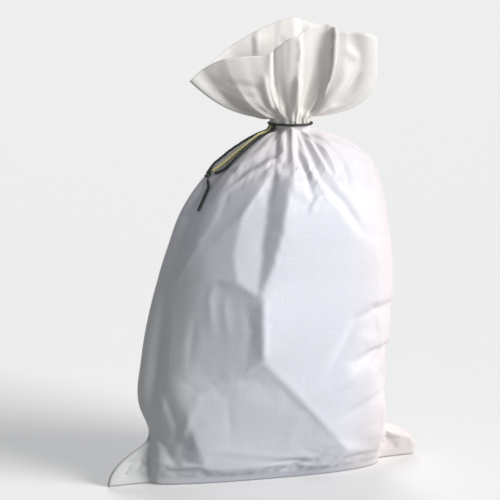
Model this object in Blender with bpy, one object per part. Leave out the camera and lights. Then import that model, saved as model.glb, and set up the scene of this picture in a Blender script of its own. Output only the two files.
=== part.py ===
# A filled woven polypropylene sack, tied at the neck, standing on its sewn bottom.
#
# The sack is one piece of flat tubular fabric, 355 mm wide and 660 mm long, sewn across the
# bottom. Filled, it is a plump body with two flat corner ears at the floor, a neck gathered
# under a cord, and the open mouth flaring out above the cord as a frill. The wide face lies
# along X, the front looks towards -Y, and the bottom seam runs along X through the origin.

import bmesh
import bpy
import math
import numpy as np
from mathutils import Matrix, Vector

MM = 0.001

# Fabric and gaps
WALL = 0.8 * MM                 # woven fabric with its folds pressed flat
GAP = 0.3 * MM                  # between pieces that touch
AROUND = 60                     # points in one section of the sack

# Filled body: height, left edge, right edge and half depth of each level section
BODY_SECTIONS = MM * np.array((
    (0.0, -131.0, 129.0, 31.0),
    (20.0, -133.0, 130.0, 44.0),
    (55.0, -134.0, 130.0, 56.0),
    (90.0, -143.0, 130.0, 64.0),
    (140.0, -138.0, 132.0, 70.0),
    (200.0, -125.0, 136.0, 73.0),
    (250.0, -109.0, 134.0, 71.0),
    (300.0, -87.0, 129.0, 64.0),
    (325.0, -68.0, 123.0, 57.0),
    (345.0, -47.0, 109.0, 46.0),
    (358.0, -28.0, 88.0, 35.0),
    (366.0, -12.0, 67.0, 27.0),
    (372.0, 5.0, 47.0, 21.0),
))
BODY_HEIGHTS = MM * np.array((
    0.0, 10.0, 22.0, 34.0, 46.0, 60.0, 84.0, 110.0, 140.0, 170.0, 200.0,
    228.0, 254.0, 278.0, 298.0, 314.0, 328.0, 340.0, 350.0, 358.0, 365.0, 372.0,
))
# Height and the power that rounds the section there: 2 is an ellipse, more is squarer
ROUNDNESS = np.array((
    (0.0, 2.5), (60.0 * MM, 2.4), (200.0 * MM, 2.3), (320.0 * MM, 2.3), (372.0 * MM, 2.0),
))
# The foot is thicker on the right than on the left by this share of its depth, up to this height
FOOT_LEAN = 0.3
FOOT_LEAN_TOP = 100.0 * MM

# Swells and hollows of the front: x and height of the middle, half widths along x and up, and
# rise. The back has the same ones at this share, because the photograph doesn't show it.
BODY_SWELLS = MM * np.array((
    (-92.0, 150.0, 42.0, 56.0, -9.0),       # hollow on the left, in the shade
    (-60.0, 85.0, 42.0, 34.0, -5.0),        # its foot
    (-65.0, 262.0, 45.0, 34.0, -3.0),       # its upper end, under the shoulder
    (118.0, 175.0, 34.0, 80.0, 8.0),        # swell on the right
    (90.0, 95.0, 50.0, 40.0, 5.0),          # its foot
    (-18.0, 180.0, 22.0, 48.0, 3.0),        # edge between the hollow and the broad front
    (42.0, 222.0, 34.0, 38.0, -3.0),        # broad front, flat
    (14.0, 308.0, 20.0, 28.0, 5.0),         # ridge under the tie
    (4.0, 342.0, 34.0, 15.0, 4.0),          # gathers above it
    (96.0, 328.0, 30.0, 26.0, -6.5),        # hollow of the right shoulder
))
FRILL_SWELLS = MM * np.array((
    (24.0, 455.0, 17.0, 55.0, -9.0),        # valley beside the middle
    (67.0, 450.0, 14.0, 55.0, 11.0),        # bulge of the right wing
    (98.0, 425.0, 14.0, 30.0, -4.0),        # hollow beyond it
))
FRILL_SWELLS_FROM = 35.0 * MM   # they reach their full rise this far above the neck
BACK_SHARE = 0.5
SWELL_EDGE = 2.0                # how fast they come up from the side folds

# Pleats that run down from the tie: their number, and their depth over the height. The left
# side, where the tie's strands lie, has none: they fade between these cosines of the angle.
PLEATS = 10
PLEAT_FADE = MM * np.array(((0, 0), (240, 0), (300, 2.0), (345, 4.0), (364, 3.0), (372, 0)))
PLEATED_TO, PLAIN_FROM = -0.72, -0.92

# Corner ears: how far each stands out of the body, from the floor up
EAR_HEIGHTS = MM * np.array((0.0, 10.0, 22.0, 34.0, 46.0, 60.0))
EAR_LEFT = MM * np.array((46.5, 43.0, 34.0, 20.0, 4.0, 0.0))
EAR_RIGHT = MM * np.array((46.0, 47.0, 41.0, 27.0, 4.0, 0.0))

# Neck under the tie
NECK_X = 26.0 * MM
NECK_RADIUS = 21.0 * MM
NECK_LOW = 372.0 * MM
NECK_HIGH = 384.0 * MM
CHANNEL_RADIUS = 3.0 * MM       # what stays open between the gathered pleats
CAVITY_TOP = 350.0 * MM         # the fill reaches this high, and above it the pleats close

# Mouth frill: its rim from the left tip along the front to the right side, and back behind, as
# x, y and height. The back layer stands up, and the front layer's rim sags below it on the left.
RIM_FRONT = (
    (-84, 0, 424), (-73, -9, 434), (-54, -16, 446), (-25, -20, 450), (-6, -20, 451), (2, -25, 457),
    (8, -33, 466), (22, -39, 469), (34, -38, 474), (44, -31, 480), (54, -21, 482), (64, -20, 478),
    (78, -30, 474), (95, -37, 472), (109, -31, 467), (118, -16, 456),
)
RIM_BACK = (
    (123, 0, 444), (118, 16, 455), (104, 28, 464), (80, 25, 472), (58, 31, 481), (42, 35, 485),
    (14, 31, 479), (-12, 30, 467), (-40, 26, 452), (-62, 18, 438),
)
FRILL_MIDDLE = 21.5 * MM
FRILL_REACH = 105.5 * MM        # from there to either side tip
FRILL_ROWS = 8

# Tie: one turn round the neck, three strands down the left shoulder to a knot, and a tail.
# Each route is a list of (y, height) in mm, on the surface of the sack's left side.
CORD = 2.8 * MM
YELLOW_STRAND = 3.4 * MM
TIE_HEIGHT = 377.6 * MM
UPPER_ROUTE = ((4.5, 375.2), (3.5, 371), (1, 366.5), (-0.5, 361), (-0.8, 355),
               (0.2, 349), (1.6, 343), (1.4, 336), (-1.9, 328.8))
YELLOW_ROUTE = ((-1.5, 375.2), (-2.5, 370.5), (-4, 365), (-5.8, 360), (-7.3, 355),
                (-7.9, 349), (-7.8, 343), (-7, 337), (-5, 330.2))
LOWER_ROUTE = ((-7, 375.2), (-7.4, 370), (-8.6, 364), (-11, 358.5), (-14.5, 352),
               (-16.5, 345), (-16.5, 338), (-13.2, 332), (-8.1, 328.2))
TAIL_ROUTE = ((-7, 321.4), (-11.5, 315), (-15, 308), (-18, 300.5), (-20, 292))
KNOT_PLACE = (-5, 325.5)
KNOT_SIZE = MM * np.array((4.2, 4.4, 6.0))      # half sizes: off the sack, across, along
CORD_STEP = 2.2                 # diameters between the points of a cord
STAND_OFF = 1.0 * MM            # the cord's clearance to the smooth surface


def smooth(xs, ys, x):
    """Cubic curve through the points (xs, ys), read at x."""
    slopes = np.gradient(ys, xs)
    i = np.clip(np.searchsorted(xs, x, side="right") - 1, 0, len(xs) - 2)
    step = xs[i + 1] - xs[i]
    t = np.clip((x - xs[i]) / step, 0.0, 1.0)
    start = (2 * t ** 3 - 3 * t ** 2 + 1) * ys[i] + (t ** 3 - 2 * t ** 2 + t) * step * slopes[i]
    end = (3 * t ** 2 - 2 * t ** 3) * ys[i + 1] + (t ** 3 - t ** 2) * step * slopes[i + 1]
    return start + end


def fade(value, low, high):
    """Nothing below low, one above high, and a smooth rise between."""
    t = np.clip((value - low) / (high - low), 0.0, 1.0)
    return t * t * (3 - 2 * t)


def signed_power(value, power):
    return np.sign(value) * np.abs(value) ** power


def body_point(angle, height):
    """A point of the filled body without its ears; angle 0 is +X, the front is -90 degrees."""
    z, left, right, depth = BODY_SECTIONS.T
    left, right, depth = (smooth(z, edge, height) for edge in (left, right, depth))
    roundness = smooth(*ROUNDNESS.T, height)
    fold = smooth(*PLEAT_FADE.T, height) * -np.cos(PLEATS * angle) / 2
    fold = fold * np.clip((np.cos(angle) - PLAIN_FROM) / (PLEATED_TO - PLAIN_FROM), 0, 1)
    across = signed_power(np.cos(angle), 2 / roundness)
    x = (left + right) / 2 + (right - left) / 2 * across
    lean = 1 + FOOT_LEAN * (1 - fade(height, 0.0, FOOT_LEAN_TOP)) * across
    y = depth * lean * signed_power(np.sin(angle), 2 / roundness)
    x, y = x - fold * np.cos(angle), y - fold * np.sin(angle) + swell(BODY_SWELLS, x, height, angle)
    return np.stack(np.broadcast_arrays(x, y, height), axis=-1)


def swell(table, x, height, angle):
    """How far the swells and hollows move the cloth along Y; at the side folds they die out."""
    total = 0.0
    for middle_x, middle_z, wide, high, rise in table:
        total = total + rise * np.exp(-((x - middle_x) / wide) ** 2 - ((height - middle_z) / high) ** 2)
    share = np.where(np.sin(angle) < 0, 1.0, BACK_SHARE)
    return total * share * np.clip(SWELL_EDGE * np.sin(angle), -1, 1)


def rim_table():
    """The rim as shares of the way round and points: front and back each take half of the cloth."""
    shares = []
    for half, start, after in ((RIM_FRONT, 0.0, RIM_BACK[0]), (RIM_BACK, 0.5, RIM_FRONT[0])):
        steps = np.linalg.norm(np.diff(np.array(half + (after,)), axis=0), axis=1)
        shares.extend(start + 0.5 * (np.cumsum(steps) - steps) / steps.sum())
    shares, points = np.array(shares), MM * np.array(RIM_FRONT + RIM_BACK)
    # three points more at each end, so that the curve closes smoothly
    around = np.concatenate((shares[-3:] - 1, shares, shares[:3] + 1))
    return around, np.concatenate((points[-3:], points, points[:3]))


def frill_point(angle, rise):
    """A point of the mouth frill: rise 0 is the top of the neck and 1 is the rim."""
    share = (angle / (2 * math.pi) + 0.5) % 1.0
    shares, points = rim_table()
    rim = np.stack([smooth(shares, axis, share) for axis in points.T], axis=-1)
    neck_x, neck_y = NECK_X + NECK_RADIUS * np.cos(angle), NECK_RADIUS * np.sin(angle)
    neck = np.stack(np.broadcast_arrays(neck_x, neck_y, NECK_HIGH), axis=-1)
    # the right wing swings out low and bulges, the left one rises straighter to its tip
    across = np.clip((rim[..., 0] - FRILL_MIDDLE) / FRILL_REACH, -1, 1)
    out = 0.84 + 0.35 * across
    up = 0.27 - 0.3 * across ** 2 + 0.07 * np.minimum(across, 0)
    bend = neck + (rim - neck) * np.stack((out, np.full_like(out, 0.6), up), axis=-1)
    rise = np.asarray(rise)[..., None]
    point = (1 - rise) ** 2 * neck + 2 * rise * (1 - rise) * bend + rise ** 2 * rim
    x, z = point[..., 0], point[..., 2]
    swelling = fade(z, NECK_HIGH, NECK_HIGH + FRILL_SWELLS_FROM)
    point[..., 1] += swelling * swell(FRILL_SWELLS, x, z, angle)
    return point


def inward(grid, distance):
    """The grid of points moved along its own normals, to its inside."""
    around = np.roll(grid, -1, axis=1) - np.roll(grid, 1, axis=1)
    up = np.gradient(grid, axis=0)
    normal = np.cross(around, up)
    return grid - distance * normal / np.linalg.norm(normal, axis=-1, keepdims=True)


def level_angles():
    return np.arange(AROUND) * 2 * math.pi / AROUND


def body_grid(heights, ears):
    """Level sections of the body, with the two flat ears at the side folds when asked for."""
    grid = body_point(level_angles()[None, :], heights[:, None])
    if ears:
        low = heights <= EAR_HEIGHTS[-1]
        grid[low, 0, 0] += np.interp(heights[low], EAR_HEIGHTS, EAR_RIGHT)
        grid[low, AROUND // 2, 0] -= np.interp(heights[low], EAR_HEIGHTS, EAR_LEFT)
    return grid


def frill_grid():
    rise = np.linspace(0.0, 1.0, FRILL_ROWS + 1)
    return frill_point(level_angles()[None, :], rise[:, None])


def ring(center_x, radius, height):
    """One round row of points."""
    angle = level_angles()
    return np.stack((center_x + radius * np.cos(angle), radius * np.sin(angle),
                     np.full(AROUND, height)), axis=-1)[None]


def loft(name, rows, material):
    """A closed body through the rows of points, with a pole at its first and last row."""
    bm = bmesh.new()
    verts = [[bm.verts.new(point) for point in row] for row in rows]
    first = bm.verts.new(rows[0].mean(axis=0))
    last = bm.verts.new(rows[-1].mean(axis=0))
    for lower, upper in zip(verts, verts[1:]):
        for i in range(AROUND):
            j = (i + 1) % AROUND
            bm.faces.new((lower[i], lower[j], upper[j], upper[i]))
    for i in range(AROUND):
        j = (i + 1) % AROUND
        bm.faces.new((first, verts[0][j], verts[0][i]))
        bm.faces.new((last, verts[-1][i], verts[-1][j]))
    bmesh.ops.triangulate(bm, faces=bm.faces)
    mesh = bpy.data.meshes.new(name)
    bm.to_mesh(mesh)
    bm.free()
    mesh.shade_smooth()
    mesh.set_sharp_from_angle(angle=math.radians(40))
    mesh.materials.append(material)
    piece = bpy.data.objects.new(name, mesh)
    collection.objects.link(piece)
    return piece


def finish(name, color, roughness):
    material = bpy.data.materials.new(name)
    material.use_nodes = True
    shader = material.node_tree.nodes["Principled BSDF"]
    shader.inputs["Base Color"].default_value = (*color, 1.0)
    shader.inputs["Roughness"].default_value = roughness
    shader.inputs["Metallic"].default_value = 0.0
    return material


def make_sack():
    """The fabric: outside from the floor to the rim, then inside from the rim to the floor."""
    outside = np.concatenate((body_grid(BODY_HEIGHTS, ears=True), frill_grid()))
    frill_inside = inward(frill_grid(), WALL)
    opening = np.clip(np.linspace(0.0, 1.0, FRILL_ROWS + 1) * 3, 0.0, 1.0)[:, None, None]
    channel_top = ring(NECK_X, CHANNEL_RADIUS, NECK_HIGH)
    frill_inside = channel_top + (frill_inside - channel_top) * opening
    channel_foot = ring(NECK_X, CHANNEL_RADIUS, NECK_LOW - 5 * MM)
    cavity = cavity_grid(WALL)
    rows = np.concatenate((outside, frill_inside[::-1], channel_foot, cavity[::-1]))
    return loft("woven_sack", rows, finish("woven_polypropylene", (0.80, 0.79, 0.76), 0.45))


def cavity_grid(distance):
    """The filled space: the body without its ears, a given distance inside the fabric."""
    heights = BODY_HEIGHTS[BODY_HEIGHTS <= CAVITY_TOP]
    grid = inward(body_grid(heights, ears=False), distance)
    grid[:, :, 2] = np.maximum(grid[:, :, 2], distance)
    return grid


def make_fill():
    rows = cavity_grid(WALL + GAP)
    return loft("sack_fill", rows, finish("fill", (0.55, 0.47, 0.36), 0.95))


def on_left_side(y, height, stand_off):
    """A point that stands off the sack's left side by a given distance, along its normal."""
    depth = smooth(*BODY_SECTIONS.T[[0, 3]], height)
    roundness = smooth(*ROUNDNESS.T, height)
    angle = math.pi - math.asin(signed_power(y / depth, roundness / 2))
    step = 1e-4
    around = body_point(angle + step, height) - body_point(angle - step, height)
    up = body_point(angle, height + step) - body_point(angle, height - step)
    normal = np.cross(around, up)
    return body_point(angle, height) + stand_off * normal / np.linalg.norm(normal)


def lay_cord(name, route, diameter, material):
    """A strand of the tie: a tube on a smooth curve along its route over the sack."""
    route = np.array([on_left_side(y * MM, height * MM, diameter / 2 + STAND_OFF) for y, height in route])
    reach = np.concatenate(([0.0], np.cumsum(np.linalg.norm(np.diff(route, axis=0), axis=1))))
    count = round(reach[-1] / (CORD_STEP * diameter)) + 1
    along = np.linspace(0.0, reach[-1], count)
    points = np.stack([smooth(reach, route[:, axis], along) for axis in range(3)], axis=-1)
    curve = bpy.data.curves.new(name, "CURVE")
    curve.dimensions = "3D"
    curve.bevel_depth = diameter / 2
    curve.bevel_resolution = 2
    curve.use_fill_caps = True
    spline = curve.splines.new("POLY")
    spline.points.add(count - 1)
    spline.points.foreach_set("co", np.c_[points, np.ones(count)].ravel())
    curve.materials.append(material)
    cord = bpy.data.objects.new(name, curve)
    collection.objects.link(cord)
    return cord


def adopt(piece, name, material):
    """Gives a primitive its name and material, and moves it to the sack's collection."""
    piece.name = name
    piece.data.shade_smooth()
    piece.data.materials.append(material)
    for home in list(piece.users_collection):
        home.objects.unlink(piece)
    collection.objects.link(piece)
    return piece


def make_knot(material):
    y, height = KNOT_PLACE[0] * MM, KNOT_PLACE[1] * MM
    seat = Vector(on_left_side(y, height, 0.0))
    center = Vector(on_left_side(y, height, KNOT_SIZE[0] + STAND_OFF))
    off = (center - seat).normalized()
    along = Vector(on_left_side(y, height + MM, 0.0) - on_left_side(y, height - MM, 0.0)).normalized()
    across = along.cross(off)
    bpy.ops.mesh.primitive_uv_sphere_add(segments=16, ring_count=10, radius=1.0)
    knot = adopt(bpy.context.object, "tie_knot", material)
    axes = (off * KNOT_SIZE[0], across * KNOT_SIZE[1], along * KNOT_SIZE[2])
    knot.data.transform(Matrix(axes).transposed().to_4x4())
    knot.location = center
    return knot


def make_winding(material):
    """The turn of cord round the neck."""
    bpy.ops.mesh.primitive_torus_add(
        location=(NECK_X, 0.0, TIE_HEIGHT), major_segments=AROUND, minor_segments=8,
        major_radius=NECK_RADIUS + GAP + CORD / 2, minor_radius=CORD / 2)
    return adopt(bpy.context.object, "tie_winding", material)


for old in list(bpy.data.objects):
    bpy.data.objects.remove(old)
collection = bpy.data.collections.new("woven_polypropylene_sack")
bpy.context.scene.collection.children.link(collection)

make_sack()
make_fill()
dark_cord = finish("tie_cord", (0.035, 0.045, 0.035), 0.6)
yellow_cord = finish("tie_yellow_strand", (0.72, 0.66, 0.30), 0.6)
make_winding(dark_cord)
lay_cord("tie_upper_strand", UPPER_ROUTE, CORD, dark_cord)
lay_cord("tie_yellow_strand", YELLOW_ROUTE, YELLOW_STRAND, yellow_cord)
lay_cord("tie_lower_strand", LOWER_ROUTE, CORD, dark_cord)
make_knot(dark_cord)
lay_cord("tie_tail", TAIL_ROUTE, CORD, dark_cord)
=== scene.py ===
# %% [markdown]
# # A filled woven sack, tied at the neck
#
# The real thing is one flat tube of woven polypropylene tape, 355 mm wide, sewn across its
# bottom, filled with about ten litres of loose material and tied with a dark cord. The packed
# model gives its size and its main forms. This script lays the fine forms of the cloth over
# them: facets and creases, gathered pleats, the flared mouth, the laid cord and the weave.

import bpy
import numpy as np
from mathutils import Matrix, Vector
from mathutils.bvhtree import BVHTree


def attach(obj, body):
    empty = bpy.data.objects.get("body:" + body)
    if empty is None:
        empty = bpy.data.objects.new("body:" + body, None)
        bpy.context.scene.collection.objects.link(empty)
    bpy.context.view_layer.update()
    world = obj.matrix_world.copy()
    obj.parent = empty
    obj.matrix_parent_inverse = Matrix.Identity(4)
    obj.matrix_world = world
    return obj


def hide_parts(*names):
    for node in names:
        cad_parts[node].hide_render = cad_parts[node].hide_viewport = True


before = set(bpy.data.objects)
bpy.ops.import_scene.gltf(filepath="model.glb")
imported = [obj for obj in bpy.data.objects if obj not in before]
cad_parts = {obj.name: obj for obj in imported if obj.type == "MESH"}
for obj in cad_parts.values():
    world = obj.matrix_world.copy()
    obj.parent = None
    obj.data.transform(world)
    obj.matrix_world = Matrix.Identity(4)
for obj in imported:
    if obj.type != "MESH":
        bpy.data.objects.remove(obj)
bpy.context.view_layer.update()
MM = 0.001
print("packed nodes:", ", ".join(sorted(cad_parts)))

# %% [markdown]
# ## The camera
#
# The picture was taken from a little to the left of the sack and slightly above it, from
# nearly two metres away. A camera is a point and three directions: back towards the eye, right
# and up. The same numbers also tell where any point of the cloth shows in the picture, so that
# a crease seen there can be laid on the cloth itself and stays on it in every other view.

# %% Camera
AZIMUTH, ELEVATION = np.radians((-18.869, 11.0))
DISTANCE = 1.8
TARGET = np.array((-0.0186, 0.0, 0.2442))
LENS, SENSOR, PICTURE = 122.57, 36.0, 500.0
BACK = np.array((np.sin(AZIMUTH) * np.cos(ELEVATION), -np.cos(AZIMUTH) * np.cos(ELEVATION), np.sin(ELEVATION)))
RIGHT = np.array((np.cos(AZIMUTH), np.sin(AZIMUTH), 0.0))
UP = np.cross(BACK, RIGHT)


def picture_place(points):
    """Where points show in the picture, in pixels across and down from its upper left corner.

    Each is the point's distance right or up, over its distance in front of the eye, times the zoom."""
    seen = points - (TARGET + BACK * DISTANCE)
    away = -(seen @ BACK)
    zoom = LENS / SENSOR * PICTURE
    return np.stack((PICTURE / 2 + zoom * (seen @ RIGHT) / away, PICTURE / 2 - zoom * (seen @ UP) / away), axis=-1)


camera = bpy.data.objects.new("camera", bpy.data.cameras.new("camera"))
bpy.context.collection.objects.link(camera)
camera.data.lens, camera.data.sensor_width = LENS, SENSOR
camera.data.clip_end = 100.0
turn = Matrix(np.stack((RIGHT, UP, BACK), axis=1).tolist()).to_4x4()
camera.matrix_world = Matrix.Translation(Vector(TARGET + BACK * DISTANCE)) @ turn
bpy.context.scene.camera = camera
print("camera at", (TARGET + BACK * DISTANCE).round(3))

# %% [markdown]
# ## The filled form
#
# The sack is two panels of cloth, front and back, bulged apart by the fill and joined along
# both sides. So each level section is a depth on either side of the middle plane, and past the
# filled part the two panels lie flat on each other as the corner ears. Every section is then
# divided into equal steps of cloth, because a woven tape keeps its place in the cloth: one
# column of the grid is one tape running from the floor up to the neck.

# %% Level sections
AROUND, ROWS = 288, 186
BODY_SECTIONS = MM * np.array((  # height, left edge, right edge, half depth
    (0, -131, 129, 31), (20, -133, 130, 44), (55, -134, 130, 56), (90, -143, 130, 64), (140, -138, 132, 70),
    (200, -125, 136, 73), (250, -109, 134, 71), (300, -87, 129, 64), (325, -68, 123, 57), (345, -47, 109, 46),
    (358, -28, 88, 35), (366, -12, 67, 27), (372, 5, 47, 21), (377, 5.4, 46.6, 20.6)))
ROUNDNESS = np.array(((0.0, 2.5), (60 * MM, 2.4), (200 * MM, 2.3), (320 * MM, 2.3), (377 * MM, 2.0)))
EAR_HEIGHTS = MM * np.array((0, 10, 22, 34, 46, 60))
EAR_LEFT = MM * np.array((46.5, 43, 34, 20, 4, 0))
EAR_RIGHT = MM * np.array((46, 47, 41, 27, 4, 0))
EAR_THICKNESS = 1.1 * MM
FOOT_LEAN, FOOT_LEAN_TOP = 0.3, 100 * MM
FILLET, FILLET_FADE = 6 * MM, 5 * MM
NECK_TOP = 377 * MM


def smooth(xs, ys, x):
    """A smooth curve through the points xs, ys, read at x: a cubic between each two, with slopes from their neighbours."""
    slopes = np.gradient(ys, xs)
    i = np.clip(np.searchsorted(xs, x, side="right") - 1, 0, len(xs) - 2)
    step = xs[i + 1] - xs[i]
    t = np.clip((x - xs[i]) / step, 0.0, 1.0)
    start = (2 * t**3 - 3 * t**2 + 1) * ys[i] + (t**3 - 2 * t**2 + t) * step * slopes[i]
    end = (3 * t**2 - 2 * t**3) * ys[i + 1] + (t**3 - t**2) * step * slopes[i + 1]
    return start + end


def fade(value, low, high):
    """Nothing below low, one above high, and a smooth rise between."""
    t = np.clip((value - low) / (high - low), 0.0, 1.0)
    return t * t * (3 - 2 * t)


def section(height):
    """One level section as AROUND points an equal step of cloth apart, from the left edge round the front.

    The depth at x is the greater of a rounded oblong, depth * (1 - |across|^n)^(1/n), and the two flat
    layers of an ear with the small fillet that joins it to the filled part."""
    left, right, deep = (smooth(BODY_SECTIONS[:, 0], edge, height) for edge in BODY_SECTIONS.T[1:])
    n = smooth(*ROUNDNESS.T, height)
    ears = np.array([smooth(EAR_HEIGHTS, reach, min(height, EAR_HEIGHTS[-1])) for reach in (EAR_LEFT, EAR_RIGHT)])
    turn_angle = np.linspace(0.0, np.pi, 900)
    lows, highs = (left, left - ears[0]), (right, right + ears[1])
    x = np.sort(np.concatenate([(low + high) / 2 - (high - low) / 2 * np.cos(turn_angle) for low, high in zip(lows, highs)]))
    across = np.clip(np.abs(2 * x - left - right) / (right - left), 0.0, 1.0)
    lean = 1 + FOOT_LEAN * (1 - fade(height, 0, FOOT_LEAN_TOP)) * (2 * x - left - right) / (right - left)
    body = deep * lean * (1 - across**n) ** (1 / n)
    side = (x > (left + right) / 2).astype(int)
    beyond = np.where(side, x - right, left - x)
    to_tip = np.where(side, highs[1] - x, x - lows[1])
    reach = np.clip(ears[side] / (6 * MM), 0.0, 1.0)
    flat = EAR_THICKNESS * np.sqrt(1 - np.clip(1 - to_tip / (2 * MM), 0.0, 1.0) ** 2)
    flat = reach * (flat + FILLET * np.exp(-np.clip(beyond + FILLET_FADE, 0.0, None) / FILLET_FADE) * np.clip(to_tip / FILLET, 0, 1))
    depth = (body**3 + flat**3) ** (1 / 3)
    run = np.concatenate(([0.0], np.cumsum(np.hypot(np.diff(x), np.diff(depth)))))
    along = np.linspace(0.0, run[-1], AROUND // 2 + 1)
    x, depth = np.interp(along, run, x), np.interp(along, run, depth)
    front = np.stack((x[:-1], -depth[:-1], np.full(AROUND // 2, height)), axis=-1)
    back = np.stack((x[:0:-1], depth[:0:-1], np.full(AROUND // 2, height)), axis=-1)
    return np.concatenate((front, back))


heights = np.linspace(0.0, NECK_TOP, ROWS)
form = np.array([section(height) for height in heights])
girth = np.linalg.norm(np.diff(form[ROWS // 3], axis=0), axis=1).sum()
print(f"filled form: {AROUND} x {ROWS} points, {girth / MM:.0f} mm round at a third of its height")

# %% [markdown]
# ## Facets of the cloth
#
# Woven cloth can't stretch, so it doesn't follow a round form: it breaks into nearly flat
# facets that meet in creases, and each facet takes its own share of the light. Modelling them
# by hand is slow. Instead each facet is an outline in the picture with the direction that it
# faces, and the relief is the height field whose slopes come closest to all of them at once.
# That field solves Poisson's equation, which a Fourier sum does in one step.

# %% Slopes to relief
FRONT_ON = 0.25


def normals_of(grid, round_it=True):
    """The outward unit normal at each grid point: the step round crossed with the step up."""
    around = np.roll(grid, -1, axis=1) - np.roll(grid, 1, axis=1) if round_it else np.gradient(grid, axis=1)
    normal = np.cross(around, np.gradient(grid, axis=0))
    return normal / np.maximum(np.linalg.norm(normal, axis=-1, keepdims=True), 1e-12)


def blur(field, times):
    """Each value becomes a quarter of each neighbour and half of itself, round the sack and up it, some times over."""
    for _ in range(times):
        field = (np.roll(field, 1, axis=1) + 2 * field + np.roll(field, -1, axis=1)) / 4
        padded = np.concatenate((field[:1], field, field[-1:]))
        field = (padded[:-2] + 2 * field + padded[2:]) / 4
    return field


def relief(step_round, step_up):
    """The heights whose differences between neighbours come closest to the wanted ones, and nothing at both ends.

    Their second difference is the difference of the wanted steps. Sines up the sack and waves round it turn
    that into a division by 2 cos(k) - 2 in each direction."""
    push = step_round - np.roll(step_round, 1, axis=1)
    push[1:-1] += step_up[1:] - step_up[:-1]
    inside = push[1:-1]
    zero = np.zeros_like(inside[:1])
    odd = np.concatenate((zero, inside, zero, -inside[::-1]))
    waves = [2 * np.cos(2 * np.pi * np.arange(n) / n) - 2 for n in odd.shape]
    scale = waves[0][:, None] + waves[1][None, :]
    scale[0, 0] = 1.0
    field = np.fft.ifft2(np.fft.fft2(odd) / scale).real
    return np.concatenate((zero, field[1:len(inside) + 1], zero))


def inside_outline(place, outline):
    """True where a picture place is inside an outline: a ray to the right crosses its edges an odd number of times."""
    x, y = place[..., 0], place[..., 1]
    odd = np.zeros(x.shape, bool)
    corners = np.array(outline, float)
    for (ax, ay), (bx, by) in zip(corners, np.roll(corners, -1, axis=0)):
        crosses = (ay > y) != (by > y)
        odd ^= crosses & (x < ax + (y - ay) * (bx - ax) / (by - ay + 1e-9))
    return odd


def both_sides(grid):
    """Picture places, facing angles and side of each point. A point of the back takes those of its mirror point in front."""
    normal = normals_of(grid)
    side = np.where(np.arange(grid.shape[1]) < grid.shape[1] // 2, -1.0, 1.0)[None, :]
    mirrored = grid * np.stack(np.broadcast_arrays(1.0, -side, 1.0), axis=-1)
    turned = np.arctan2(normal[..., 0], normal[..., 1] * side)
    lifted = np.arcsin(np.clip(normal[..., 2], -1, 1))
    return picture_place(mirrored), turned, lifted, side


def facet_relief(grid, facets, softness, back_share, free_top=False):
    """The relief of a list of facets: (outline, degrees right, degrees up, share).

    A facet that should face t degrees further right than the plain form asks for a fall of tan(t) times each
    step to the right, and likewise upwards. Share is how much of that it asks for."""
    place, turned, lifted, side = both_sides(grid)
    want_round, want_up = np.zeros(grid.shape[:2]), np.zeros(grid.shape[:2])
    limit = np.radians(45)
    for outline, right, up, share in facets:
        mask = inside_outline(place, outline)
        share = share * np.where(side < 0, 1.0, back_share)
        right_by = -np.tan(np.clip(np.radians(right) - turned, -limit, limit)) * share
        up_by = -np.tan(np.clip(np.radians(up) - lifted, -limit, limit)) * share
        want_round, want_up = np.where(mask, right_by, want_round), np.where(mask, up_by, want_up)
    reach_round = np.linalg.norm(np.roll(grid, -1, axis=1) - grid, axis=-1)
    reach_up = np.linalg.norm(np.diff(grid, axis=0), axis=-1)
    step_round = -side * blur(want_round, softness) * reach_round
    step_up = blur(want_up, softness)[:-1] * reach_up
    if free_top:
        step_round = np.concatenate((step_round, step_round[::-1]))
        step_up = np.concatenate((step_up, 0 * step_up[:1], -step_up[::-1]))
    return relief(step_round, step_up)[:len(grid)]


# %% [markdown]
# ## Creases and tucks
#
# Narrow folds are added one by one. Each is a line on the picture with a sharp crest, or a
# sharp valley where its rise is negative, that falls off over its own width on either side.
# A width that differs from side to side makes the fold lean, as a tuck of cloth does.

# %% Fold lines
def fold_lines(grid, lines, back_share):
    """The summed height of the lines: (points, rise, width left, width right, fade at the start, fade at the end).

    Across a line the height is rise * (1 - distance / width)^1.6, with the crest rounded by a pixel."""
    place, turned, _, side = both_sides(grid)
    total = np.zeros(grid.shape[:2])
    for points, rise, left, right, start_fade, end_fade in lines:
        points = np.array(points, float)
        steps = np.diff(points, axis=0)
        lengths = np.linalg.norm(steps, axis=1)
        nearest, lean, along = np.full(total.shape, 1e9), np.zeros(total.shape), np.zeros(total.shape)
        for start, step, length, before in zip(points, steps, lengths, np.cumsum(lengths) - lengths):
            away = place - start
            t = np.clip(away @ step / length**2, 0, 1)
            gap = away - t[..., None] * step
            distance = np.hypot(gap[..., 0], gap[..., 1])
            closer = distance < nearest
            cross = step[0] * away[..., 1] - step[1] * away[..., 0]
            nearest, lean = np.where(closer, distance, nearest), np.where(closer, cross, lean)
            along = np.where(closer, (before + t * length) / lengths.sum(), along)
        width = np.where(lean > 0, left, right)
        rounded = np.sqrt(nearest**2 + 1.0) - 1.0
        shape = (1 - np.clip(rounded / width, 0, 1)) ** 1.6
        ends = fade(along, -1e-3, max(start_fade, 1e-3)) * fade(1 - along, -1e-3, max(end_fade, 1e-3))
        total += rise * MM * shape * ends
    return total * np.where(side < 0, 1.0, back_share) * fade(np.cos(turned), 0.0, FRONT_ON)


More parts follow.
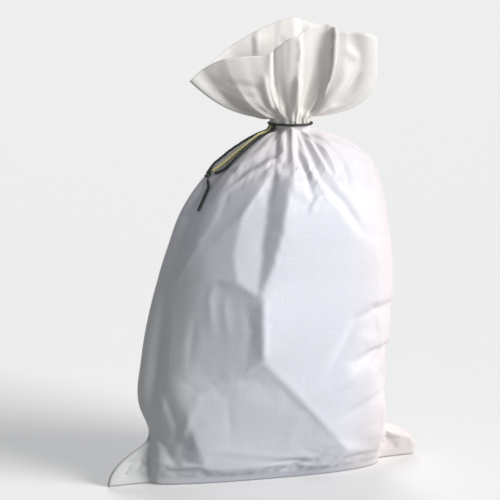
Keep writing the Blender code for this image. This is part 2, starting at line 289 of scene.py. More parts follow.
# %% Facets and folds of the filled part
# Outline in picture pixels, degrees that it faces to the right, degrees up, share
BODY_FACETS = (
    (((262, 152), (283, 138), (283, 152), (262, 165), (240, 180), (222, 195), (200, 240), (190, 240), (205, 205),
      (225, 172)), -46, 36, 0.7),                                              # lit band of the left shoulder
    (((285, 155), (262, 170), (245, 177), (228, 190), (218, 215), (200, 243), (215, 240), (240, 217), (255, 197),
      (268, 178)), -52, -4, 1.0),                                              # its shadow fold
    (((268, 178), (255, 197), (240, 217), (215, 240), (190, 250), (165, 288), (215, 280), (237, 282),
      (234, 255), (242, 217)), -32, 8, 0.9),                                   # below the fold
    (((268, 178), (242, 217), (234, 255), (237, 280), (256, 298), (262, 260), (268, 212)), -10, 14, 1.0),
    (((268, 178), (288, 178), (280, 235), (270, 270), (257, 298), (262, 260), (268, 212)), -42, 4, 1.0),
    (((288, 196), (318, 200), (345, 215), (372, 245), (374, 345), (340, 385), (300, 396), (262, 359), (262, 300),
      (270, 270), (280, 235)), 5, 7, 0.85),                                    # broad front
    (((165, 290), (215, 280), (240, 284), (262, 300), (262, 359), (245, 372), (222, 383), (198, 393), (160, 372)),
     -36, -3, 0.95),                                                           # dark hollow on the left
    (((262, 359), (300, 397), (330, 430), (345, 446), (330, 462), (205, 468), (190, 430), (198, 394), (222, 384),
      (245, 373)), -12, 5, 0.9),                                               # lower middle
    (((300, 397), (340, 386), (376, 386), (375, 452), (345, 446), (330, 430)), 6, 3, 0.9),
    (((198, 394), (190, 430), (203, 466), (158, 470), (150, 425), (160, 400)), -26, 3, 0.8),
    (((318, 186), (340, 203), (355, 226), (378, 245), (390, 240), (384, 190), (365, 152), (330, 140)), 30, 22, 0.5),
)
# Line in picture pixels, rise in mm, widths to the left and right in pixels, fades at the start and the end
BODY_FOLDS = (
    (((286, 130), (262, 150), (240, 166), (218, 190), (203, 215)), 3.0, 16, 9, 0.1, 0.4),
    (((284, 153), (268, 157), (254, 164)), -2.0, 7, 5, 0.1, 0.5),
    (((291, 128), (292, 165), (292, 200)), 3.5, 5, 7, 0.0, 0.5),
    (((296, 128), (299, 155), (306, 172), (312, 206)), -4.0, 7, 5, 0.0, 0.3),
    (((292, 130), (300, 152), (312, 178), (326, 192)), 3.0, 5, 7, 0.0, 0.4),
    (((303, 128), (309, 152), (324, 184), (342, 202), (358, 228), (378, 247)), -4.0, 9, 9, 0.0, 0.35),
    (((309, 128), (324, 158), (341, 184)), -3.0, 5, 6, 0.0, 0.4),
    (((306, 128), (316, 152), (332, 180)), 2.5, 5, 5, 0.0, 0.4),
    (((278, 128), (276, 150), (274, 178), (268, 212)), -3.0, 8, 5, 0.0, 0.4),
    (((320, 193), (313, 203), (307, 216)), 1.4, 4, 4, 0.3, 0.3),
    (((392, 298), (370, 307), (355, 318), (337, 352), (320, 386)), -2.4, 8, 18, 0.1, 0.5),
    (((386, 341), (364, 350), (344, 366)), -2.0, 7, 16, 0.1, 0.5),
    (((383, 384), (356, 404), (330, 421)), -2.0, 7, 16, 0.1, 0.5),
    (((262, 300), (262, 330), (262, 359)), 0.6, 8, 6, 0.1, 0.1),
    (((262, 359), (300, 397), (330, 430), (345, 446)), 0.5, 6, 9, 0.05, 0.3),
    (((262, 359), (245, 372), (222, 383), (198, 394)), 0.6, 8, 5, 0.05, 0.3),
    (((214, 262), (210, 300), (214, 350)), 1.0, 10, 9, 0.5, 0.5),
    (((230, 275), (226, 310), (232, 352)), 0.8, 9, 8, 0.5, 0.5),
    (((246, 292), (251, 330), (246, 366)), -0.8, 8, 9, 0.4, 0.4),
    (((196, 300), (190, 340), (186, 380)), -1.0, 9, 10, 0.5, 0.5),
    (((150, 380), (163, 404), (174, 428), (182, 462)), -1.8, 7, 14, 0.4, 0.5),
    (((192, 402), (187, 425), (176, 448), (160, 462)), 1.4, 9, 8, 0.4, 0.5),
    (((147, 432), (160, 447), (176, 468)), -1.8, 6, 8, 0.1, 0.3),
    (((228, 390), (230, 420), (231, 455)), -0.45, 7, 8, 0.5, 0.5),
    (((302, 402), (290, 432), (284, 460)), 0.4, 12, 12, 0.5, 0.5),
    (((200, 449), (270, 455), (345, 457)), 0.6, 5, 6, 0.3, 0.3),
)
PLEATS = 13


def pleat_wave(share, phase=0.0):
    """Gathers round the neck, from -1 to 1, at a share of the way round: sharp crests of uneven widths."""
    turns = 2 * np.pi * share
    wandering = PLEATS * turns + 1.1 * np.sin(3 * turns + 1.0 + phase) + 0.9 * np.sin(5 * turns + 2.0) + phase
    return 1 - 2 * np.abs(np.sin(wandering / 2)) ** 0.8 + 0.3 * np.sin(2.3 * wandering + 1.3)


share_round = np.arange(AROUND)[None, :] / AROUND
MIDDLE = fade(np.abs(np.sin(2 * np.pi * share_round)), 0.0, 0.6)
OFF_FOLD = fade(np.abs(np.sin(2 * np.pi * share_round)), 0.0, 0.2)


def keep_depth(field):
    """The field less its own mean over the middle of each panel, so flat facets don't thin the sack: the fill pushes
    the cloth out at their edges instead."""
    half = AROUND // 2
    for panel in (slice(0, half), slice(half, AROUND)):
        weight = MIDDLE[:, panel]
        mean = (field[:, panel] * weight).sum(axis=1, keepdims=True) / weight.sum()
        field[:, panel] -= mean * weight
    return field * OFF_FOLD


shape = form + normals_of(form) * keep_depth(facet_relief(form, BODY_FACETS, 1, 0.5))[..., None]
gather = fade(heights, 296 * MM, 366 * MM) - 0.6 * fade(heights, 364 * MM, 376 * MM)
fine = fold_lines(form, BODY_FOLDS, 0.6) + MM * np.where(share_round < 0.5, 1.1, 2.0) * gather[:, None] * pleat_wave(share_round)
shape = shape + normals_of(shape) * fine[..., None]
shape[..., 2] = np.maximum(shape[..., 2], 0.0)
shape[0, :, 2] = 0.0
print(f"relief moves the cloth by up to {np.abs(shape - form).max() / MM:.1f} mm")


# %% [markdown]
# ## Into a mesh
#
# A grid of points becomes quads in one call, with its faces wound so that they point out. The
# cloth's own measure goes into a UV map, in metres: across is the flat cloth's width, which is
# the same at every height, and along is the distance run up the tape. The weave reads that.

# %% Grid to mesh
CLOTH_ROUND = 710 * MM


def grid_mesh(name, grid, close=True, uv_start=0.0):
    """A closed tube of quads from a grid of points, with poles at both ends when close is true."""
    rows, columns = grid.shape[:2]
    i, j = np.meshgrid(np.arange(rows - 1), np.arange(columns), indexing="ij")
    next_j = (j + 1) % columns
    quads = np.stack((i * columns + j, i * columns + next_j, (i + 1) * columns + next_j, (i + 1) * columns + j), axis=-1)
    quads = quads.reshape(-1, 4)
    points = grid.reshape(-1, 3)
    faces = quads.tolist()
    if close:
        points = np.concatenate((points, grid[0].mean(axis=0)[None], grid[-1].mean(axis=0)[None]))
        ring = np.arange(columns)
        after, last, bottom, top = (ring + 1) % columns, (rows - 1) * columns, rows * columns, rows * columns + 1
        faces += np.stack((after, ring, np.full(columns, bottom)), axis=-1).tolist()
        faces += np.stack((last + ring, last + after, np.full(columns, top)), axis=-1).tolist()
    mesh = bpy.data.meshes.new(name)
    mesh.from_pydata(points.tolist(), [], faces)
    run = uv_start + np.concatenate((np.zeros((1, columns)), np.cumsum(np.linalg.norm(np.diff(grid, axis=0), axis=-1), axis=0)))
    run = run.mean(axis=1)
    corner_u = np.stack((j, j + 1, j + 1, j), axis=-1).reshape(-1) / columns * CLOTH_ROUND
    corner_v = np.stack((run[i], run[i], run[i + 1], run[i + 1]), axis=-1).reshape(-1)
    uv = np.zeros((len(mesh.loops), 2))
    uv[:len(corner_u)] = np.stack((corner_u, corner_v), axis=-1)
    mesh.uv_layers.new(name="cloth").data.foreach_set("uv", uv.astype(np.float32).ravel())
    mesh.shade_smooth()
    piece = bpy.data.objects.new(name, mesh)
    bpy.context.collection.objects.link(piece)
    return piece


# %% [markdown]
# ## Letting the cloth settle
#
# The placed facets are too clean. Blender's Cloth presses a coarser copy of the sack outwards
# with the fill's pressure while its threads are a little longer than the form, so it buckles
# into the small random wrinkles of real cloth. Only its movement is kept, held within a few
# millimetres, spread back over the fine grid.

# %% Settle
SIM_FRAMES = 14
SIM_CAP = 3.5 * MM


def settle(grid):
    """The movement of each point of a grid when its cloth is let go under pressure, no more than the cap."""
    coarse = grid[::2, ::2]
    trial = grid_mesh("trial", coarse)
    count = coarse.shape[1]
    held = [n for n in range(len(trial.data.vertices)) if n < 3 * count or n >= count * (len(coarse) - 9)]
    trial.vertex_groups.new(name="held").add(held, 1.0, "REPLACE")
    cloth = trial.modifiers.new("cloth", "CLOTH")
    cloth.point_cache.frame_start, cloth.point_cache.frame_end = 1, SIM_FRAMES
    rules = cloth.settings
    rules.quality, rules.mass, rules.air_damping = 5, 0.15, 2.0
    rules.tension_stiffness = rules.compression_stiffness = 18.0
    rules.shear_stiffness, rules.bending_stiffness = 8.0, 0.4
    rules.use_pressure, rules.uniform_pressure_force = True, 1.2
    rules.shrink_min = -0.025
    rules.vertex_group_mass = "held"
    rules.effector_weights.gravity = 0.0
    for number in range(1, SIM_FRAMES + 1):
        bpy.context.scene.frame_set(number)
    bent = trial.evaluated_get(bpy.context.evaluated_depsgraph_get())
    moved = np.empty(len(bent.data.vertices) * 3, np.float32)
    bent.data.vertices.foreach_get("co", moved)
    move = moved.reshape(-1, 3)[:coarse.shape[0] * count].reshape(coarse.shape) - coarse
    bpy.data.objects.remove(trial)
    bpy.context.scene.frame_set(1)
    reach = np.linalg.norm(move, axis=-1, keepdims=True)
    print(f"cloth moved {np.median(reach) / MM:.1f} mm, at most {reach.max() / MM:.1f} mm before the cap")
    move = move * SIM_CAP * np.tanh(reach / SIM_CAP) / np.maximum(reach, 1e-9)
    full = np.zeros_like(grid)
    full[::2, ::2] = move
    full[::2, 1::2] = (move + np.roll(move, -1, axis=1)) / 2
    full[1:-1:2] = (full[:-2:2] + full[2::2]) / 2
    return full


shape = shape + settle(shape)
shape[..., 2] = np.maximum(shape[..., 2], 0.0)

# %% [markdown]
# ## The flared mouth
#
# Above the tie the same cloth opens again. Its mouth isn't filled by anything, so it keeps only
# the spread that the gathers give it: the back layer stands up as a leaning wing, and the front
# layer's rim sags below it. Each point runs from the neck to the rim on a curve with one bend.

# %% Frill
NECK_X, NECK_RADIUS, NECK_HIGH = 26 * MM, 21 * MM, 384 * MM
NECK_ROWS, FRILL_ROWS = 6, 62
# The rim, from the left tip along the front to the right side and back behind: x, y and height
RIM_FRONT = ((-84, 0, 424), (-73, -9, 434), (-54, -16, 446), (-25, -20, 450), (-6, -20, 451), (2, -25, 457),
             (8, -33, 466), (22, -39, 469), (34, -38, 474), (44, -31, 480), (54, -21, 482), (64, -20, 478),
             (78, -30, 474), (95, -37, 472), (109, -31, 467), (118, -16, 456))
RIM_BACK = ((123, 0, 444), (118, 16, 455), (104, 28, 464), (80, 25, 472), (58, 31, 481), (42, 35, 485), (14, 31, 479),
            (-12, 30, 467), (-40, 26, 452), (-62, 18, 438))


def rim_table():
    """The rim as shares of the way round and points: each half takes half of the cloth, by its own length."""
    shares = []
    for part, after in ((RIM_FRONT, RIM_BACK[0]), (RIM_BACK, RIM_FRONT[0])):
        run = np.cumsum(np.linalg.norm(np.diff(np.array(part + (after,)), axis=0), axis=1))
        shares += [len(shares) and 0.5] + (0.5 * run[:-1] / run[-1] + (0.5 if shares else 0.0)).tolist()
    points = np.array(RIM_FRONT + RIM_BACK) * MM
    shares = np.array(shares)
    return np.concatenate((shares[-3:] - 1, shares, shares[:3] + 1)), np.concatenate((points[-3:], points, points[:3]))


RIM_SHARES, RIM_POINTS = rim_table()


def frill_point(share, rise):
    """A point of the flared mouth at a share of the way round: rise 0 is the top of the neck and 1 is the rim.

    It is a curve of one bend, (1-r)^2 neck + 2r(1-r) bend + r^2 rim, that leaves the neck sideways first."""
    rim = np.stack([smooth(RIM_SHARES, axis, share) for axis in RIM_POINTS.T], axis=-1)
    angle = 2 * np.pi * share - np.pi
    neck = np.stack((NECK_X + NECK_RADIUS * np.cos(angle), NECK_RADIUS * np.sin(angle), NECK_HIGH + 0 * angle), axis=-1)
    across = np.clip((rim[..., 0] - 21.5 * MM) / (105.5 * MM), -1, 1)
    bend = neck + (rim - neck) * np.stack((0.84 + 0.35 * across, 0.6 + 0 * across, 0.27 - 0.3 * across**2 + 0.07 * np.minimum(across, 0)), axis=-1)
    rise = np.asarray(rise)[..., None]
    return (1 - rise) ** 2 * neck + 2 * rise * (1 - rise) * bend + rise**2 * rim


FRILL_FACETS = (
    (((217, 62), (270, 60), (262, 88), (222, 84)), -26, 6, 0.7),
    (((222, 84), (262, 88), (266, 112), (236, 112), (205, 92)), -14, -6, 0.6),
    (((240, 105), (266, 108), (268, 121), (245, 116)), -30, -25, 0.6),
    (((275, 40), (296, 38), (300, 75), (294, 112), (284, 118), (276, 85)), -8, 4, 0.9),
    (((296, 38), (320, 28), (318, 70), (306, 112), (295, 112), (300, 75)), 8, 4, 0.9),
    (((318, 28), (337, 34), (330, 70), (312, 114), (306, 112), (318, 70)), -30, 0, 1.0),
    (((337, 34), (352, 36), (362, 66), (356, 90), (340, 108), (318, 112), (330, 70)), 24, 6, 0.8),
)
FRILL_FOLDS = (
    (((275, 40), (275, 62), (275, 86), (281, 110)), -5.0, 4, 14, 0.0, 0.2),
    (((300, 75), (295, 105), (291, 121)), 3.0, 6, 5, 0.2, 0.0),
    (((330, 30), (326, 60), (316, 90), (306, 118)), -5.0, 9, 8, 0.0, 0.1),
    (((352, 60), (340, 85), (318, 108)), 2.4, 7, 7, 0.3, 0.2),
    (((366, 70), (352, 92), (330, 108)), -2.4, 6, 7, 0.3, 0.2),
    (((345, 45), (352, 55), (362, 60)), 1.6, 5, 6, 0.3, 0.3),
    (((300, 40), (304, 52), (300, 66)), 2.2, 6, 6, 0.1, 0.3),
    (((262, 70), (266, 90), (272, 112)), 2.0, 5, 4, 0.3, 0.1),
    (((222, 84), (245, 86), (264, 90)), -1.6, 6, 6, 0.2, 0.2),
    (((210, 90), (236, 99), (262, 104)), 1.4, 5, 5, 0.2, 0.2),
)

rises = np.linspace(0.0, 1.0, FRILL_ROWS) ** 1.15
around = share_round[0]
neck_heights = np.linspace(NECK_TOP, NECK_HIGH, NECK_ROWS + 1)[1:-1, None]
neck = np.stack(np.broadcast_arrays(NECK_X - NECK_RADIUS * np.cos(2 * np.pi * around), -NECK_RADIUS * np.sin(2 * np.pi * around),
                                    neck_heights), axis=-1)
frill = np.concatenate((neck, frill_point(share_round, rises[:, None])))
frill_rise = np.concatenate((0 * neck_heights[:, 0], rises))[:, None]
flared = frill + normals_of(frill) * keep_depth(facet_relief(frill, FRILL_FACETS, 2, 0.5, free_top=True))[..., None]
middle = np.abs(np.sin(2 * np.pi * share_round)) ** 0.5
ripple = MM * (1.2 + (1.4 * fade(frill_rise, 0.0, 0.2) - 2.2 * fade(frill_rise, 0.2, 0.9)) * middle)
waves = middle * (np.sin(2 * np.pi * 5 * share_round + 0.6) + 0.6 * np.sin(2 * np.pi * 9 * share_round + 2.0))
fine = ripple * pleat_wave(share_round) + 1.6 * MM * fade(frill_rise, 0.3, 1.0) * waves
fine = fine + fold_lines(frill, FRILL_FOLDS, 0.6)
flared = flared + normals_of(flared) * fine[..., None]
lining = flared - normals_of(flared) * 0.6 * MM
print(f"frill stands {(flared[..., 2].max() - NECK_TOP) / MM:.0f} mm above the tie")

# %% The whole sack as one closed skin
# Up the outside from the floor to the rim, then down the inside of the mouth to the neck
skin = np.concatenate((shape, flared, lining[::-1]))
sack = grid_mesh("sack", skin)
print(f"sack: {2 * AROUND * len(skin)} triangles")

# %% [markdown]
# ## The tie
#
# A thin dark cord of three twisted strands goes once round the neck, hangs down the left
# shoulder as a long loop, is knotted, and ends in a short tail. Beside it lies a pale strand.
# A cord is a profile carried along a path: here a circle with three shallow grooves that turn
# with the distance run, which is what gives a laid cord its look.

# %% Laid cord
CORD, PALE = 2.8 * MM, 3.4 * MM
STRAND_TURN = 9 * MM


def cord_mesh(name, path, diameter, closed=False, taper=0.0, sides=21):
    """A laid cord along a path. Its radius at an angle is R * (0.88 + 0.12 * |cos(1.5 * (angle - twist))|)."""
    path = np.array(path)
    along = np.roll(path, -1, axis=0) - np.roll(path, 1, axis=0) if closed else np.gradient(path, axis=0)
    along = along / np.linalg.norm(along, axis=1, keepdims=True)
    run = np.concatenate(([0.0], np.cumsum(np.linalg.norm(np.diff(path, axis=0), axis=1))))
    guide = np.where(np.abs(along[:, 2:3]) < 0.8, (0.0, 0.0, 1.0), (0.0, 1.0, 0.0)) if closed else np.array((-0.8, 0.25, 0.5))
    first = np.cross(along, guide)
    first = first / np.linalg.norm(first, axis=1, keepdims=True)
    second = np.cross(along, first)
    angle = 2 * np.pi * np.arange(sides)[None, :] / sides
    turns = np.round(run[-1] / STRAND_TURN) if closed else run[-1] / STRAND_TURN
    twist = 2 * np.pi / 3 * turns * (run / run[-1])[:, None]
    radius = diameter / 2 * (0.88 + 0.12 * np.abs(np.cos(1.5 * (angle - twist))))
    radius = radius * (1 - taper * (run / run[-1])[:, None] ** 3)
    rings = path[:, None] + radius[..., None] * (np.cos(angle)[..., None] * first[:, None] + np.sin(angle)[..., None] * second[:, None])
    count = len(path)
    i, j = np.meshgrid(np.arange(count if closed else count - 1), np.arange(sides), indexing="ij")
    after, over = (j + 1) % sides, (i + 1) % count
    faces = np.stack((i * sides + j, i * sides + after, over * sides + after, over * sides + j), axis=-1).reshape(-1, 4).tolist()
    points = rings.reshape(-1, 3)
    if not closed:
        points = np.concatenate((points, path[:1] - along[:1] * diameter / 4, path[-1:] + along[-1:] * diameter / 4))
        ring = np.arange(sides)
        faces += np.stack(((ring + 1) % sides, ring, np.full(sides, count * sides)), axis=-1).tolist()
        last = (count - 1) * sides
        faces += np.stack((last + ring, last + (ring + 1) % sides, np.full(sides, count * sides + 1)), axis=-1).tolist()
    mesh = bpy.data.meshes.new(name)
    mesh.from_pydata(points.tolist(), [], faces)
    uv = np.zeros((len(mesh.loops), 2))
    corner_u = np.stack((j, j + 1, j + 1, j), axis=-1).reshape(-1) / sides * np.pi * diameter
    run_on = np.append(run, run[-1] + STRAND_TURN / 10)
    corner_v = np.stack((run_on[i], run_on[i], run_on[i + 1], run_on[i + 1]), axis=-1).reshape(-1)
    uv[:len(corner_u)] = np.stack((corner_u, corner_v), axis=-1)
    mesh.uv_layers.new(name="cloth").data.foreach_set("uv", uv.astype(np.float32).ravel())
    mesh.validate()
    mesh.shade_smooth()
    piece = bpy.data.objects.new(name, mesh)
    bpy.context.collection.objects.link(piece)
    return piece


# %% Cord routes
# Places down the left shoulder: distance towards the back, and height, in mm
ROUTES = {
    "upper": ((4.5, 375.2), (3.5, 371), (1, 366.5), (-0.5, 361), (-0.8, 355), (0.2, 349), (1.6, 343), (1.4, 336), (-1.9, 328.8)),
    "pale": ((-1.5, 375.2), (-2.5, 370.5), (-4, 365), (-5.8, 360), (-7.3, 355), (-7.9, 349), (-7.8, 343), (-7, 337), (-5, 330.2)),
    "lower": ((-7, 375.2), (-7.4, 370), (-8.6, 364), (-11, 358.5), (-14.5, 352), (-16.5, 345), (-16.5, 338), (-13.2, 332), (-8.1, 328.2)),
    "tail": ((-7, 321.4), (-11.5, 315), (-15, 308), (-18, 300.5), (-20, 292)),
}
KNOT_PLACE = (-5, 325.5)
body_tree = BVHTree.FromObject(sack, bpy.context.evaluated_depsgraph_get())


def on_left(y, height, stand_off):
    """The point of the sack's left side at a distance towards the back and a height, stood off along its normal."""
    hit, normal, _, _ = body_tree.ray_cast(Vector((-0.4, y, height)), Vector((1.0, 0.0, 0.0)))
    plain = np.array(normal) * 0.5 + np.array((-0.6, 0.0, 0.6)) * 0.5
    return np.array(hit) + stand_off * plain / np.linalg.norm(plain)


def route(name, diameter):
    """A smooth path over a route's places, a third of a diameter apart, seated on the cloth."""
    places = MM * np.array(ROUTES[name])
    rough = np.array([on_left(y, z, diameter / 2 + 0.5 * MM) for y, z in places])
    reach = np.concatenate(([0.0], np.cumsum(np.linalg.norm(np.diff(rough, axis=0), axis=1))))
    along = np.linspace(0.0, reach[-1], round(reach[-1] / (0.3 * diameter)))
    return np.stack([smooth(reach, rough[:, axis], along) for axis in range(3)], axis=-1)


paths = {name: route(name, PALE if name == "pale" else CORD) for name in ROUTES}
pieces = {name: cord_mesh("cord_" + name, path, PALE if name == "pale" else CORD) for name, path in paths.items()}
turn_angle = np.linspace(0.0, 2 * np.pi, 180, endpoint=False)
TIE_RADIUS, TIE_HEIGHT = NECK_RADIUS + 0.3 * MM + CORD / 2, 377.6 * MM
turn_path = np.stack((NECK_X + TIE_RADIUS * np.cos(turn_angle), TIE_RADIUS * np.sin(turn_angle),
                      TIE_HEIGHT + 0.25 * MM * np.sin(2 * turn_angle)), axis=-1)
pieces["turn"] = cord_mesh("cord_turn", turn_path, CORD, closed=True)
knot_at = on_left(KNOT_PLACE[0] * MM, KNOT_PLACE[1] * MM, 3.4 * MM)
t = np.linspace(0.0, 2 * np.pi, 150, endpoint=False)
knot_across, knot_along, knot_off = np.array((0.0, 1.0, 0.0)), np.array((-0.55, 0.0, -0.83)), np.array((-0.83, 0.0, 0.55))
knot_path = knot_at + MM * 1.25 * ((np.sin(t) + 2 * np.sin(2 * t))[:, None] * knot_across * 0.75
                                   + (np.cos(t) - 2 * np.cos(2 * t))[:, None] * knot_along * 0.95
                                   - np.sin(3 * t)[:, None] * knot_off)
pieces["knot"] = cord_mesh("cord_knot", knot_path, CORD * 0.92, closed=True)
print("cord lengths:", {name: round(float(np.linalg.norm(np.diff(path, axis=0), axis=1).sum()) / MM) for name, path in paths.items()})

# %% [markdown]
# ## Finishes
#
# The cloth is woven from flat tapes about 2.5 mm wide: glossy, slightly see-through plastic whose colour shifts from a
# cool white to a warm one. The warm tone towards the right side is painted light and shade, and the grey-green on the
# left side is painted shade. The weave is a group of nodes that any material can use. It reads the cloth's own measure,
# so it follows every fold.

# %% Weave group
def new_node(tree, kind, inputs=(), **settings):
    """Adds a node, with settings on it and values or links on its inputs."""
    node = tree.nodes.new(kind)
    for key, value in settings.items():
        setattr(node, key, value)
    for socket, value in dict(inputs).items():
        if isinstance(value, bpy.types.NodeSocket):
            tree.links.new(value, node.inputs[socket])
        else:
            node.inputs[socket].default_value = value
    return node


def math(tree, operation, *values):
    """The output of one Math node."""
    return new_node(tree, "ShaderNodeMath", dict(enumerate(values)), operation=operation).outputs[0]


def weave_group():
    """Over-and-under tapes: a height that is full on each tape's middle, and a tone for each tape."""
    tree = bpy.data.node_groups.new("woven_tapes", "ShaderNodeTree")
    tree.interface.new_socket("Tape", in_out="INPUT", socket_type="NodeSocketFloat").default_value = 2.5 * MM
    tree.interface.new_socket("Height", in_out="OUTPUT", socket_type="NodeSocketFloat")
    tree.interface.new_socket("Tone", in_out="OUTPUT", socket_type="NodeSocketFloat")
    given, result = tree.nodes.new("NodeGroupInput"), tree.nodes.new("NodeGroupOutput")
    uv = new_node(tree, "ShaderNodeUVMap", uv_map="cloth").outputs[0]
    split = new_node(tree, "ShaderNodeSeparateXYZ", {0: uv})
    cells, profiles = [], []
    for axis in (0, 1):
        cell = math(tree, "DIVIDE", split.outputs[axis], given.outputs["Tape"])
        cells.append(math(tree, "FLOOR", cell))
        off_middle = math(tree, "ABSOLUTE", math(tree, "SUBTRACT", math(tree, "MULTIPLY", math(tree, "FRACT", cell), 2.0), 1.0))
        profiles.append(math(tree, "SUBTRACT", 1.0, math(tree, "POWER", off_middle, 5.0)))
    over = math(tree, "FLOORED_MODULO", math(tree, "ADD", cells[0], cells[1]), 2.0)
    height = math(tree, "MULTIPLY", profiles[0], profiles[1])
    height = math(tree, "ADD", height, math(tree, "MULTIPLY", over, 0.12))
    own = math(tree, "ADD", math(tree, "MULTIPLY", over, cells[0]),
               math(tree, "MULTIPLY", math(tree, "SUBTRACT", 1.0, over), math(tree, "ADD", cells[1], 517.0)))
    tone = new_node(tree, "ShaderNodeTexWhiteNoise", {"W": own}, noise_dimensions="1D").outputs["Value"]
    tree.links.new(height, result.inputs["Height"])
    tree.links.new(tone, result.inputs["Tone"])
    return tree


WEAVE = weave_group()


def mix(tree, factor, a, b, blend="MIX"):
    """The output of one colour Mix node."""
    node = new_node(tree, "ShaderNodeMix", data_type="RGBA", blend_type=blend)
    for socket, value in ((node.inputs["Factor"], factor), (node.inputs[6], a), (node.inputs[7], b)):
        if isinstance(value, bpy.types.NodeSocket):
            tree.links.new(value, socket)
        else:
            socket.default_value = value
    return node.outputs[2]


def ramp(tree, value, low, high):
    """A value spread from 0 to 1 between low and high."""
    return new_node(tree, "ShaderNodeMapRange", {"Value": value, "From Min": low, "From Max": high}, clamp=True).outputs[0]


def new_material(name):
    """An empty material with its tree and its Principled shader."""
    material = bpy.data.materials.new(name)
    material.use_nodes = True
    tree = material.node_tree
    return material, tree, tree.nodes["Principled BSDF"]


def fabric(name, cool, warm, warm_from, warm_to, through):
    """Woven polypropylene: cool white that turns warm between two heights and towards the right side. The warm turn
    towards the right side is painted light and shade, and the grey-green on the left side is painted shade.
    """
    material, tree, shader = new_material(name)
    weave = new_node(tree, "ShaderNodeGroup", node_tree=WEAVE)
    weave.inputs["Tape"].default_value = 2.5 * MM
    place = new_node(tree, "ShaderNodeTexCoord").outputs["Object"]
    split = new_node(tree, "ShaderNodeSeparateXYZ", {0: place})
    clouds = new_node(tree, "ShaderNodeTexNoise", {"Vector": place, "Scale": 14.0, "Detail": 3.0}).outputs[0]
    up = ramp(tree, split.outputs[2], warm_from, warm_to)
    # Painted light and shade: towards the right side, from x 60 to 130 mm, the colour turns warm. On the loose cloth
    # that is a paler, painted warm light. On the filled part it is a warm, slightly darker tone, a painted shade that
    # tones down the side the key light strikes most.
    right = ramp(tree, split.outputs[0], 0.06, 0.13)
    warm_tone_and_painted_light = math(tree, "MAXIMUM", up, right)
    warm_tone_and_painted_light = math(tree, "ADD", warm_tone_and_painted_light, math(tree, "MULTIPLY", math(tree, "SUBTRACT", clouds, 0.5), 0.5))
    colour = mix(tree, warm_tone_and_painted_light, cool, warm)
    # Painted shade: from x -70 to -140 mm the left side and its ear turn grey-green, standing in for the shade that
    # falls there.
    painted_left_shade = math(tree, "MULTIPLY", ramp(tree, split.outputs[0], -0.07, -0.14), 0.6)
    colour = mix(tree, painted_left_shade, colour, (0.62, 0.63, 0.58, 1.0))
    tone = ramp(tree, weave.outputs["Tone"], 0.0, 1.0)
    colour = mix(tree, math(tree, "MULTIPLY", tone, 0.10), colour, (0.55, 0.56, 0.6, 1.0))
    gap = math(tree, "SUBTRACT", 1.0, weave.outputs["Height"])
    colour = mix(tree, math(tree, "MULTIPLY", gap, 0.13), colour, (0.45, 0.44, 0.44, 1.0))
    tree.links.new(colour, shader.inputs["Base Color"])
    rough = math(tree, "ADD", 0.38, math(tree, "MULTIPLY", tone, 0.14))
    tree.links.new(rough, shader.inputs["Roughness"])
    fibre = new_node(tree, "ShaderNodeTexNoise", {"Vector": place, "Scale": 60.0, "Detail": 2.0}).outputs[0]
    relief_height = math(tree, "ADD", weave.outputs["Height"], math(tree, "MULTIPLY", fibre, 1.6))
    bump = new_node(tree, "ShaderNodeBump", {"Height": relief_height, "Strength": 0.22, "Distance": 0.35 * MM})
    tree.links.new(bump.outputs[0], shader.inputs["Normal"])
    shader.inputs["Specular IOR Level"].default_value = 0.35
    shader.inputs["Sheen Weight"].default_value = 0.08
    shader.inputs["Subsurface Weight"].default_value = through
    shader.inputs["Subsurface Radius"].default_value = (1.0, 0.95, 0.9)
    shader.inputs["Subsurface Scale"].default_value = 2.0 * MM
    return material


def cord_finish(name, dark, light):
    """Fibrous twisted cord, with hairs along it, some of them paler."""
    material, tree, shader = new_material(name)
    uv = new_node(tree, "ShaderNodeUVMap", uv_map="cloth").outputs[0]
    long_grain = new_node(tree, "ShaderNodeMapping", {"Vector": uv, "Scale": (2400.0, 260.0, 1.0)}).outputs[0]
    hairs = new_node(tree, "ShaderNodeTexNoise", {"Vector": long_grain, "Scale": 1.0, "Detail": 2.0}).outputs[0]
    tree.links.new(mix(tree, ramp(tree, hairs, 0.4, 0.75), dark, light), shader.inputs["Base Color"])
    tree.links.new(math(tree, "ADD", 0.45, math(tree, "MULTIPLY", hairs, 0.3)), shader.inputs["Roughness"])
    bump = new_node(tree, "ShaderNodeBump", {"Height": hairs, "Strength": 0.6, "Distance": 0.2 * MM})
    tree.links.new(bump.outputs[0], shader.inputs["Normal"])
    return material


# WARM and PALE_WARM also give the painted warm light and shade towards the right side of each cloth.
COOL, WARM = (0.76, 0.78, 0.87, 1.0), (0.78, 0.71, 0.71, 1.0)
TAN, PALE_WARM = (0.80, 0.76, 0.71, 1.0), (0.84, 0.81, 0.78, 1.0)
body_finish = fabric("woven_cloth_filled", COOL, WARM, 0.30, 0.40, 0.0)
frill_finish = fabric("woven_cloth_loose", TAN, PALE_WARM, 0.37, 0.45, 0.7)
dark_cord = cord_finish("dark_cord", (0.012, 0.018, 0.016, 1.0), (0.06, 0.075, 0.06, 1.0))
pale_cord = cord_finish("pale_strand", (0.62, 0.57, 0.24, 1.0), (0.86, 0.82, 0.50, 1.0))
sack.data.materials.append(body_finish)
sack.data.materials.append(frill_finish)
above = np.repeat(np.arange(len(skin) - 1) >= ROWS, AROUND)
sack.data.polygons.foreach_set("material_index", np.concatenate((above, np.zeros(AROUND), np.ones(AROUND))).astype(np.int32))
for name, piece in pieces.items():
    piece.data.materials.append(pale_cord if name == "pale" else dark_cord)
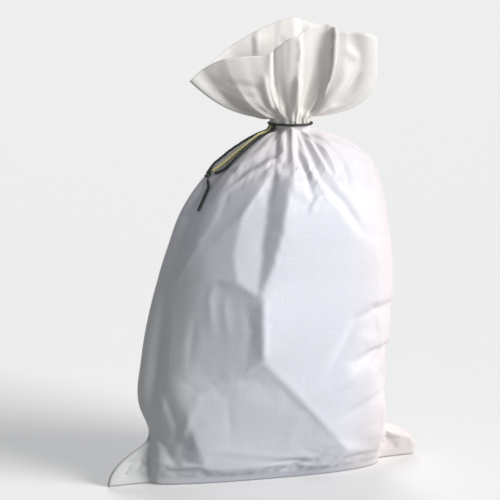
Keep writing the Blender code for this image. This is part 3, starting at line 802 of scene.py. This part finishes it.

# %% [markdown]
# ## Placing the pieces on the imported model
#
# Every piece rides on the one body and stands for its node, which is hidden.

# %% Ride and replace
for piece in (sack, *pieces.values()):
    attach(piece, "root")
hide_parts("woven_sack", "sack_fill")
for name, node in (("turn", "tie_winding"), ("upper", "tie_upper_strand"), ("pale", "tie_yellow_strand"),
                   ("lower", "tie_lower_strand"), ("knot", "tie_knot"), ("tail", "tie_tail")):
    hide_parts(node)

# %% [markdown]
# ## Floor and light
#
# The picture has a plain white ground and one broad soft light from the right, a little above
# the sack, so its left side falls into a grey shade. A wide sun gives the same light everywhere,
# which keeps the floor even, and a pale sky fills the shade.

# %% Studio
floor_mesh = bpy.data.meshes.new("floor")
FLOOR = 40.0
floor_mesh.from_pydata([(-FLOOR, -FLOOR, -0.0005), (FLOOR, -FLOOR, -0.0005), (FLOOR, FLOOR, -0.0005), (-FLOOR, FLOOR, -0.0005)], [], [(0, 1, 2, 3)])
floor = bpy.data.objects.new("floor", floor_mesh)
bpy.context.collection.objects.link(floor)
floor_material, _, floor_shader = new_material("studio_floor")
floor_shader.inputs["Base Color"].default_value = (0.95, 0.95, 0.95, 1.0)
floor_shader.inputs["Roughness"].default_value = 0.9
floor_mesh.materials.append(floor_material)



def sun(name, azimuth, elevation, strength, softness, colour):
    """A broad, even light from a direction: azimuth 0 is in front of the sack, 90 its right side."""
    lamp = bpy.data.objects.new(name, bpy.data.lights.new(name, "SUN"))
    bpy.context.collection.objects.link(lamp)
    lamp.data.energy, lamp.data.angle, lamp.data.color = strength, np.radians(softness), colour
    a, e = np.radians((azimuth, elevation))
    towards = Vector((np.sin(a) * np.cos(e), -np.cos(a) * np.cos(e), np.sin(e)))
    lamp.matrix_world = towards.to_track_quat("Z", "Y").to_matrix().to_4x4()


sun("key_light", 48, 20, 3.5, 35, (1.0, 0.985, 0.965))
sun("back_fill", 165, 35, 1.2, 40, (1.0, 1.0, 1.0))
floor.visible_diffuse = False
world = bpy.data.worlds.new("world")
world.use_nodes = True
world.node_tree.nodes["Background"].inputs[0].default_value = (0.96, 0.98, 1.0, 1.0)
world.node_tree.nodes["Background"].inputs[1].default_value = 0.29
bpy.context.scene.world = world
bpy.context.scene.view_settings.view_transform = "Standard"
